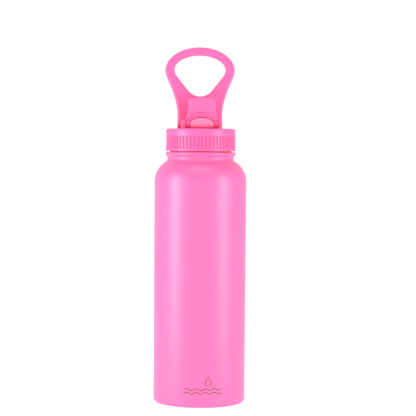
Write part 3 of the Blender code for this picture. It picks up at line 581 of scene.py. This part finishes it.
def makeLidBody():
    k = lid
    grooveLow = k["lowZ"] + k["lipHigh"]
    bm = bmesh.new()
    first = startAt(bm, k["inner"], k["lowZ"] + 0.3 * mm)
    tip = lineTo(bm, first, k["inner"] + 0.3 * mm, k["lowZ"])
    tip = lineTo(bm, tip, k["lip"] - 0.4 * mm, k["lowZ"])
    tip = arcTo(bm, tip, k["lip"] - 0.4 * mm, k["lowZ"] + 0.4 * mm, pi / 2, 3)
    tip = lineTo(bm, tip, k["lip"], grooveLow - 0.2 * mm)
    tip = lineTo(bm, tip, k["crest"], grooveLow)
    for share in (0.03, 0.07, 0.12, 0.5, 0.86, 0.91, 0.95, 0.98):
        tip = lineTo(bm, tip, k["crest"], grooveLow + (k["bandZ"] - grooveLow) * share)
    tip = lineTo(bm, tip, k["band"], k["bandZ"])
    tip = lineTo(bm, tip, k["band"], k["deckZ"] - k["edge"])
    tip = arcTo(bm, tip, k["band"] - k["edge"], k["deckZ"] - k["edge"], pi / 2, 7)
    tip = lineTo(bm, tip, k["dish"] + 0.5 * mm, k["deckZ"])
    dishZ = k["deckZ"] - k["dishDeep"]
    tip = curveTo(bm, tip, (k["dish"] + 0.2 * mm, k["deckZ"]), (k["dish"] + 0.3 * mm, dishZ),
                  (k["dish"], dishZ), 4)
    lineTo(bm, tip, 0, dishZ)
    tip = lineTo(bm, first, k["inner"], k["underZ"] - 0.5 * mm)
    tip = arcTo(bm, tip, k["inner"] - 0.5 * mm, k["underZ"] - 0.5 * mm, pi / 2, 3)
    lineTo(bm, tip, 0, k["underZ"])
    columns = k["ribs"] * k["columnsPerRib"]
    turnRound(bm, columns)
    # press the grooves in between the ribs, fading out towards both ends
    low = grooveLow + 0.02 * (k["bandZ"] - grooveLow)
    for v in bm.verts:
        if v.co.xy.length < k["crest"] - 0.3 * mm or not low < v.co.z < k["bandZ"] - 0.1 * mm:
            continue
        around = v.co.xy.angle_signed(Vector((1, 0)), 0) - k["firstRib"]
        across = 0.5 - 0.5 * cos(k["ribs"] * around)    # 0 on a rib's crest, 1 in a groove
        fromEnd = min(v.co.z - low, k["bandZ"] - v.co.z) / k["grooveFade"]
        fade = sqrt(min(1, max(0, 1 - (1 - min(1, fromEnd)) ** 2)))
        flank = min(1, max(0, (across - 0.25) / 0.5))
        deep = k["grooveDeep"] * flank * flank * (3 - 2 * flank) * fade
        v.co.xy *= 1 - deep / v.co.xy.length
    bmesh.ops.dissolve_verts(bm, verts=[v for v in bm.verts if v.co.xy.length < 1e-6])
    return bm


def makeTower(side):
    k = lid
    front = hinge["spoutY"] - k["towerDeep"] / 2
    back = hinge["spoutY"] + k["towerDeep"] / 2
    bm = bmesh.new()
    first = startAt(bm, front, k["deckZ"] - k["sunk"])
    tip = lineTo(bm, first, back, k["deckZ"] - k["sunk"])
    tip = lineTo(bm, tip, back, k["towerTop"] - k["towerRound"])
    tip = arcTo(bm, tip, back - k["towerRound"], k["towerTop"] - k["towerRound"], pi / 2, 6)
    tip = lineTo(bm, tip, front + k["towerRound"], k["towerTop"])
    tip = arcTo(bm, tip, front + k["towerRound"], k["towerTop"] - k["towerRound"], pi / 2, 6)
    close(bm, tip, first)
    thicken(bm, k["towerIn"], k["towerOut"])
    standAcross(bm, side)
    roundEdges(bm, edgesAbove(bm, 60, k["deckZ"]), k["towerEdge"], 3)
    return bm


def makeHingeBlock():
    k = lid
    bm = bmesh.new()
    first = startAt(bm, hinge["loopY"] - k["knuckle"], k["deckZ"] - k["sunk"])
    tip = lineTo(bm, first, hinge["loopY"] + k["knuckle"], k["deckZ"] - k["sunk"])
    tip = lineTo(bm, tip, hinge["loopY"] + k["knuckle"], hinge["loopZ"])
    tip = arcTo(bm, tip, hinge["loopY"], hinge["loopZ"], pi, 20)
    close(bm, tip, first)
    thicken(bm, -k["blockHalf"], k["blockHalf"])
    standAcross(bm)
    roundEdges(bm, edgesAbove(bm, 60, k["deckZ"]), k["blockEdge"], 3)
    return bm


def makeLid():
    k = lid
    below = k["underZ"] - 1 * mm
    inThread = makeThread(k["inner"], bottle["neck"] + 0.5 * mm - k["inner"],
                          thread["lowZ"] + thread["pitch"] / 2)
    boss = rod(k["boss"], k["deckZ"] - k["sunk"], k["bossZ"], 32, 0.2 * mm, at=(k["ventX"], k["ventY"], 0))
    body = carve(makeLidBody(), [inThread, makeTower(1), makeTower(-1), makeHingeBlock(), boss], "UNION")
    vent = rod(k["vent"], below, k["bossZ"] + 1 * mm, 24, at=(k["ventX"], k["ventY"], 0))
    port = rod(k["port"], below, k["deckZ"] + 1 * mm, 48, at=(0, hinge["spoutY"], 0))
    reach = k["towerOut"] + 1 * mm
    spoutBore = rod(k["spoutBore"], -reach, reach, 32, axis="X", at=(0, hinge["spoutY"], hinge["spoutZ"]))
    loopBore = rod(k["loopBore"], -reach, reach, 32, axis="X", at=(0, hinge["loopY"], hinge["loopZ"]))
    return carve(body, [port, vent, loopBore, spoutBore], "DIFFERENCE")


lidPiece = place(finishMesh("lidShell", makeLid(), 40), "lid", "lid_plastic", lidPlastic, "lid_shell")
flatten(lidPiece)
print("lid made")


spout = {
    "half": 15.9 * mm, "creaseHalf": 14.15 * mm, "topHalf": 12.9 * mm,
    "flareZ": hinge["spoutZ"] + 5.3 * mm, "creaseZ": hinge["spoutZ"] + 11.3 * mm,
    "topZ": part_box("mouthpiece")[1][2], "deep": 3.8 * mm,
    "hub": 4.2 * mm, "channel": 2.2 * mm, "nib": 3.0 * mm, "nibHigh": 7.5 * mm,
    "padHalf": 12.05 * mm, "padRise": 6.2 * mm, "padReach": 4.5 * mm, "padThick": 1.3 * mm,
    "padShrink": 0.3 * mm, "padWrap": radians(50), "rim": 1.6 * mm, "gap": 0.5 * mm, "pocket": 2.5 * mm,
    "crown": 2.0 * mm, "bodyEdge": 0.8 * mm, "lipHigh": 1.0 * mm, "lipEdge": 0.6 * mm, "padEdge": 0.4 * mm,
    "pinBore": 1.4 * mm, "pinStop": 5.7 * mm,
    "mouthGap": 0.12 * mm, "mouthCorner": 1.8 * mm, "mouthEdge": 1.3 * mm, "mouthLean": 0.05,
    "sleeveFit": 0.3 * mm,
}


def archPlate(grow):
    # a slab through the spout's front with the arch's outline: upright sides, then half an ellipse
    s = spout
    half = s["padHalf"] + grow
    bm = bmesh.new()
    tip = startAt(bm, half, 0)
    arcTo(bm, tip, 0, 0, pi, 36)
    bmesh.ops.scale(bm, vec=(1, 1, (s["padRise"] + grow) / half), verts=bm.verts)
    right = max(bm.verts, key=lambda v: v.co.x)
    left = min(bm.verts, key=lambda v: v.co.x)
    foot = -s["hub"] - 1 * mm
    low = lineTo(bm, right, half, foot)
    low = lineTo(bm, low, -half, foot)
    close(bm, low, left)
    bmesh.ops.translate(bm, verts=bm.verts, vec=(0, 0, hinge["spoutZ"]))
    thicken(bm, hinge["spoutY"] - 8 * mm, hinge["spoutY"])
    return bm


def frontSkin(outer, inner, wrap):
    # a sheet across the spout: upright above the hinge, and bent round the hub below it
    bm = bmesh.new()
    first = startAt(bm, -outer, spout["padRise"] + 4 * mm)
    tip = lineTo(bm, first, -outer, 0)
    tip = arcTo(bm, tip, 0, 0, wrap, 10)
    tip = lineTo(bm, tip, -inner * cos(wrap), -inner * sin(wrap))
    tip = arcTo(bm, tip, 0, 0, -wrap, 10)
    tip = lineTo(bm, tip, -inner, spout["padRise"] + 4 * mm)
    close(bm, tip, first)
    thicken(bm, -20 * mm, 20 * mm)
    standAcross(bm)
    bmesh.ops.translate(bm, verts=bm.verts, vec=(0, hinge["spoutY"], hinge["spoutZ"]))
    return bm


def frontRims(bm):
    # the sharp edges in the face of a bent sheet, above the hinge
    front = hinge["spoutY"] - spout["padReach"] + 0.1 * mm
    return [e for e in sharpEdges(bm, 60) if max(v.co.y for v in e.verts) < front and
            min(v.co.z for v in e.verts) > hinge["spoutZ"] - 1e-6]


def crownFront(bm):
    # slice the block into upright strips, then draw the front back towards both sides
    y, half = hinge["spoutY"], spout["creaseHalf"]
    for step in range(-6, 7):
        bmesh.ops.bisect_plane(bm, geom=bm.verts[:] + bm.edges[:] + bm.faces[:],
                               plane_co=(step * half / 7, 0, 0), plane_no=(1, 0, 0))
    for v in bm.verts:
        ahead = min(1, max(0, (y - v.co.y) / spout["deep"]))
        v.co.y += spout["crown"] * ahead * (v.co.x / half) ** 2


def makeSpoutBody():
    s = spout
    y, z = hinge["spoutY"], hinge["spoutZ"]
    bm = bmesh.new()
    tip = startAt(bm, 0, z)
    tip = lineTo(bm, tip, s["half"], z)
    tip = lineTo(bm, tip, s["half"], s["flareZ"])
    tip = curveTo(bm, tip, (s["half"] - 0.8 * mm, s["flareZ"] + 2 * mm),
                  (s["creaseHalf"] + 0.1 * mm, s["creaseZ"] - 3 * mm), (s["creaseHalf"], s["creaseZ"]), 8)
    lineTo(bm, tip, 0, s["creaseZ"])
    reflect(bm)
    thicken(bm, y - s["deep"], y + s["deep"])
    roundEdges(bm, edgesAbove(bm, 60, z + 1e-6), s["bodyEdge"], 4)
    crownFront(bm)
    hub = rod(s["hub"], -s["half"], s["half"], 64, 0.4 * mm, "X", (0, y, z))
    nib = rod(s["nib"], s["creaseZ"] - 1 * mm, s["creaseZ"] + s["nibHigh"], 32, 0.3 * mm, at=(0, y, 0))
    bm = carve(bm, [hub, nib], "UNION")
    # a thin raised lip frames the arch, then the pocket for the pad is cut inside it
    lip = carve(frontSkin(s["padReach"] - 0.02 * mm, s["padReach"] - s["lipHigh"], s["padWrap"]),
                [archPlate(s["rim"] + s["gap"])], "INTERSECT")
    bmesh.ops.remove_doubles(lip, verts=lip.verts, dist=0.002 * mm)
    roundEdges(lip, frontRims(lip), s["lipEdge"], 3)
    bm = carve(bm, [lip], "UNION")
    pocket = carve(frontSkin(s["padReach"] + 1 * mm, s["padReach"] - s["pocket"],
                             s["padWrap"] + radians(5)), [archPlate(s["gap"])], "INTERSECT")
    channel = rod(s["channel"], z - 2 * s["hub"], s["topZ"], 32, at=(0, y, 0))
    pinHoles = [rod(s["pinBore"], *ends, 24, axis="X", at=(0, y, z)) for ends in
                ((s["pinStop"], s["half"] + 1 * mm), (-s["half"] - 1 * mm, -s["pinStop"]))]
    return carve(bm, [pocket, channel, *pinHoles], "DIFFERENCE")


def makeSealPad():
    s = spout
    bm = carve(frontSkin(s["padReach"], s["padReach"] - s["padThick"], s["padWrap"]),
               [archPlate(-s["padShrink"])], "INTERSECT")
    bmesh.ops.remove_doubles(bm, verts=bm.verts, dist=0.002 * mm)
    # round its visible rim, so that it catches the light like a cushion
    roundEdges(bm, frontRims(bm), s["padEdge"], 3)
    return bm


def makeMouthpiece():
    # a tapered block with a slightly crowned front, all its edges rounded, bored for the nib
    s = spout
    y = hinge["spoutY"]
    low = s["creaseZ"] + s["mouthGap"]
    corner = s["mouthCorner"]
    bm = bmesh.new()
    tip = startAt(bm, 0, low)
    tip = lineTo(bm, tip, s["creaseHalf"] - 0.05 * mm, low)
    tip = lineTo(bm, tip, s["topHalf"], s["topZ"] - corner)
    tip = curveTo(bm, tip, (s["topHalf"] - 0.05 * mm, s["topZ"] - 0.5 * mm),
                  (s["topHalf"] - 0.7 * mm, s["topZ"]), (s["topHalf"] - corner, s["topZ"]), 6)
    lineTo(bm, tip, 0, s["topZ"])
    reflect(bm)
    thicken(bm, y - s["deep"], y + s["deep"])
    # lean the front and back in towards the top
    for v in bm.verts:
        share = (v.co.z - low) / (s["topZ"] - low)
        v.co.y = y + (v.co.y - y) * (1 - s["mouthLean"] * share)
    roundEdges(bm, edgesAbove(bm, 50, low + 1e-6), s["mouthEdge"], 5)
    crownFront(bm)
    sleeve = rod(s["nib"] + s["sleeveFit"], low - 1 * mm, s["creaseZ"] + s["nibHigh"] + s["sleeveFit"], 32,
                 at=(0, y, 0))
    channel = rod(s["channel"], low, s["topZ"] + 1 * mm, 32, at=(0, y, 0))
    return carve(bm, [sleeve, channel], "DIFFERENCE")


for name, mesh, node, slot, look in (
        ("spoutBody", makeSpoutBody(), "spout_body", "lid_plastic", lidPlastic),
        ("mouthpiece", makeMouthpiece(), "mouthpiece", "pink_silicone", pinkSilicone),
        ("sealPad", makeSealPad(), "seal_pad", "pink_silicone", paintedLitSilicone)):
    piece = place(finishMesh(name + "Piece", mesh), "spout", slot, look, node)
    flatten(piece)
print("spout made")


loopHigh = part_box("carry_loop")[1]
loop = {
    "half": loopHigh[0], "topZ": loopHigh[2], "crown": 23.4 * mm,
    "foot": 22.3 * mm, "deep": 4.3 * mm, "topDeep": 3.7 * mm,
    "limb": 9.2 * mm, "limbTop": 8.2 * mm, "webZ": hinge["loopZ"] + 28.3 * mm, "round": 2.2 * mm,
    "sideGap": 0.4 * mm, "notchGap": 0.7 * mm,    # round the lid's hinge block
}


def drawLoopOutline(bm):
    p = loop
    z = hinge["loopZ"]
    side = p["topZ"] - p["crown"]
    # the crown is half an ellipse, as wide as the loop
    tip = startAt(bm, p["half"], 0)
    top = arcTo(bm, tip, 0, 0, pi / 2, 24)
    bmesh.ops.scale(bm, vec=(1, 1, p["crown"] / p["half"]), verts=bm.verts)
    bmesh.ops.translate(bm, verts=bm.verts, vec=(0, 0, side))
    tip = curveTo(bm, tip, (p["half"], side - 2.5 * mm), (p["half"] - 1.8 * mm, side - 7.2 * mm),
                  (p["half"] - 3.6 * mm, side - 11.2 * mm), 6)
    tip = curveTo(bm, tip, (p["half"] - 7.2 * mm, side - 19.2 * mm), (p["foot"], z + 22 * mm),
                  (p["foot"], z + 10 * mm), 14)
    tip = lineTo(bm, tip, p["foot"], z)
    lineTo(bm, tip, 0, z)


def drawWindow(bm):
    p = loop
    half = p["half"] - p["limb"]
    side = p["topZ"] - p["crown"] + 1 * mm
    rise = p["topZ"] - p["limbTop"] - side
    low = p["webZ"]
    tip = startAt(bm, half, 0)
    arcTo(bm, tip, 0, 0, pi / 2, 20)
    bmesh.ops.scale(bm, vec=(1, 1, rise / half), verts=bm.verts)
    bmesh.ops.translate(bm, verts=bm.verts, vec=(0, 0, side))
    tip = curveTo(bm, tip, (half, side - 2 * mm), (half - 0.5 * mm, side - 4.1 * mm),
                  (half - 1.6 * mm, side - 5.6 * mm), 5)
    tip = curveTo(bm, tip, (half - 5 * mm, side - 9.8 * mm), (half * 0.6, low + 9.5 * mm),
                  (half * 0.42, low + 4.4 * mm), 8)
    curveTo(bm, tip, (half * 0.36, low + 2.9 * mm), (5.5 * mm, low), (0, low), 8)


def makeLoop():
    p = loop
    y, z = hinge["loopY"], hinge["loopZ"]
    bm = bmesh.new()
    drawLoopOutline(bm)
    reflect(bm)
    thicken(bm, y - p["deep"], y + p["deep"])
    window = bmesh.new()
    drawWindow(window)
    reflect(window)
    thicken(window, y - 20 * mm, y + 20 * mm)
    bm = carve(bm, [window], "DIFFERENCE")
    bmesh.ops.dissolve_limit(bm, angle_limit=radians(0.5), verts=bm.verts, edges=bm.edges)
    for v in bm.verts:
        share = (v.co.z - z) / (p["topZ"] - z)
        v.co.y = y + (v.co.y - y) * (1 + (p["topDeep"] / p["deep"] - 1) * share)
    roundEdges(bm, edgesAbove(bm, 60, z + 1e-6), p["round"], 5)
    barrel = rod(p["deep"], -p["foot"], p["foot"], 64, 0.5 * mm, "X", (0, y, z))
    bm = carve(bm, [barrel], "UNION")
    gap = lid["blockHalf"] + p["sideGap"]
    notch = bar((-gap, y - 20 * mm, z - 20 * mm), (gap, y + 20 * mm, z + p["deep"] + p["notchGap"]))
    bore = rod(lid["loopBore"], -p["foot"] - 1 * mm, p["foot"] + 1 * mm, 32, axis="X", at=(0, y, z))
    return carve(bm, [notch, bore], "DIFFERENCE")


loopPiece = place(finishMesh("carryLoop", makeLoop()), "loop", "loop_plastic", loopPlastic, "carry_loop")
flatten(loopPiece)
print("carry loop made")


# radius, both ends, the hinge's place and the node
pins = {
    "spoutPinLeft": (1.1 * mm, -19.4 * mm, -6 * mm, "spoutY", "spoutZ", "spout_pin_left"),
    "spoutPinRight": (1.1 * mm, 6 * mm, 19.4 * mm, "spoutY", "spoutZ", "spout_pin_right"),
    "loopPin": (1.5 * mm, -21.8 * mm, 21.8 * mm, "loopY", "loopZ", "loop_pin"),
}
for name, (radius, low, high, y, z, node) in pins.items():
    pin = rod(radius, low, high, 32, 0.25 * mm, "X", (0, hinge[y], hinge[z]))
    place(finishMesh(name, pin), "lid", "stainless_steel", spunSteel, node)


def makeRing(node, wall, edge, centreY):
    # a tube that fills the node's box, with its four rims rounded
    low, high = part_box(node)
    outer = (high[0] - low[0]) / 2
    bm = bmesh.new()
    first = startAt(bm, outer - wall, low[2] + edge)
    tip = arcTo(bm, first, outer - wall + edge, low[2] + edge, pi / 2, 4)
    tip = lineTo(bm, tip, outer - edge, low[2])
    tip = arcTo(bm, tip, outer - edge, low[2] + edge, pi / 2, 4)
    tip = lineTo(bm, tip, outer, high[2] - edge)
    tip = arcTo(bm, tip, outer - edge, high[2] - edge, pi / 2, 4)
    tip = lineTo(bm, tip, outer - wall + edge, high[2])
    tip = arcTo(bm, tip, outer - wall + edge, high[2] - edge, pi / 2, 4)
    close(bm, tip, first)
    turnRound(bm, 64)
    bmesh.ops.translate(bm, verts=bm.verts, vec=(0, centreY, 0))
    return bm


# node, wall, rounding, place, body, slot and look
rings = {
    "gasketRing": ("lid_gasket", 3.4 * mm, 0.8 * mm, 0, "lid_seal", "white_silicone", whiteSilicone),
    "strawTube": ("straw", 1.2 * mm, 0.3 * mm, hinge["spoutY"], "straw", "natural_plastic", naturalPlastic),
    "strawSleeve": ("straw_grommet", 1.0 * mm, 0.3 * mm, hinge["spoutY"], "lid", "white_silicone",
                    whiteSilicone),
}
for name, (node, wall, edge, y, body, slot, look) in rings.items():
    place(finishMesh(name, makeRing(node, wall, edge, y)), body, slot, look, node)

# what stays hidden inside keeps its frame shape and gets its real finish
for node, look in (("vacuum_base", spunSteel), ("vacuum_seal", glassBead), ("getter", getterLook),
                   ("lid_liner", naturalPlastic), ("lid_foam", foamLook), ("port_seal", whiteSilicone),
                   ("vent_valve", whiteSilicone)):
    kept = frame["nodes"][node]
    kept.data.materials.clear()
    kept.data.materials.append(look)
print("pins, rings and inner pieces made")


studio = {"floorSize": 8.0, "fill": 0.34, "distance": 1.575, "height": 249.5 * mm,
          "azimuth": -5.0, "aside": 0.28, "down": 2.047, "lean": 0.42, "lens": 137.12,
          "floorGlow": 0.66, "lightsAim": 0.18}

# degrees round from the front, distance, height, width, tallness in metres, and watts
softboxes = {
    "softboxLeft": (-63, 0.9, 0.2, 0.26, 0.85, 9.5),
    "softboxRight": (59, 0.9, 0.2, 0.24, 0.85, 7.5),
    "softboxAbove": (0, 0.42, 1.12, 0.8, 0.25, 3),
}


def makeFloor():
    # a white sweep, lit to the same white as the backdrop, which takes the bottle's soft shadow
    bm = bmesh.new()
    bmesh.ops.create_grid(bm, x_segments=2, y_segments=2, size=studio["floorSize"] / 2)
    floor = finishMesh("floor", bm)
    look, tree, shader, where = newLook("paleSweep", 0.9)
    tree.links.new(mottle(tree, where, 0.8, 2.0, hexColour("#f4f4f4"), hexColour("#fafafa")),
                   shader.inputs["Base Color"])
    shader.inputs["Specular IOR Level"].default_value = 0.1
    shader.inputs["Emission Color"].default_value = (1, 1, 1, 1)
    shader.inputs["Emission Strength"].default_value = studio["floorGlow"]
    floor.data.materials.append(look)
    floor.location.z = -0.2 * mm


def softbox(name, direction, distance, height, width, tall, power):
    # a rectangular area light round the bottle, aimed at its middle
    light = bpy.data.lights.new(name, "AREA")
    light.shape = "RECTANGLE"
    light.size = width
    light.size_y = tall
    light.energy = power
    lamp = bpy.data.objects.new(name, light)
    turn = radians(direction + studio["azimuth"])
    lamp.location = (sin(turn) * distance, -cos(turn) * distance, height)
    aim = Vector((0, 0, studio["lightsAim"])) - lamp.location
    lamp.rotation_euler = aim.to_track_quat("-Z", "Y").to_euler()
    bpy.context.scene.collection.objects.link(lamp)


def makeWorld():
    # the backdrop is seen at full white, and lights the bottle less than that
    world = bpy.data.worlds.new("whiteRoom")
    bpy.context.scene.world = world
    world.use_nodes = True
    tree = world.node_tree
    path = addNode(tree, "ShaderNodeLightPath")
    seen = addNode(tree, "ShaderNodeMath", {"operation": "MAXIMUM"},
                   {0: path.outputs["Is Camera Ray"], 1: path.outputs["Is Glossy Ray"]})
    strength = addNode(tree, "ShaderNodeMapRange", {"To Min": studio["fill"], "To Max": 1.0},
                       {"Value": seen.outputs[0]})
    sky = tree.nodes["Background"]
    sky.inputs["Color"].default_value = (1, 1, 1, 1)
    tree.links.new(strength.outputs["Result"], sky.inputs["Strength"])


def makeCamera():
    s = studio
    lens = bpy.data.cameras.new("camera")
    lens.lens = s["lens"]
    lens.sensor_width = 36
    lens.clip_start = 0.05
    camera = bpy.data.objects.new("camera", lens)
    turn = radians(s["azimuth"])
    spot = Vector((sin(turn) * s["distance"], -cos(turn) * s["distance"], s["height"]))
    aim = (Matrix.Rotation(radians(s["azimuth"] - s["aside"]), 4, "Z")
           @ Matrix.Rotation(radians(90 - s["down"]), 4, "X") @ Matrix.Rotation(radians(s["lean"]), 4, "Z"))
    camera.matrix_world = Matrix.Translation(spot) @ aim
    bpy.context.scene.collection.objects.link(camera)
    bpy.context.scene.camera = camera


makeFloor()
makeWorld()
for name, setting in softboxes.items():
    softbox(name, *setting)
makeCamera()
bpy.context.scene.view_settings.view_transform = "Standard"

print("scene made")
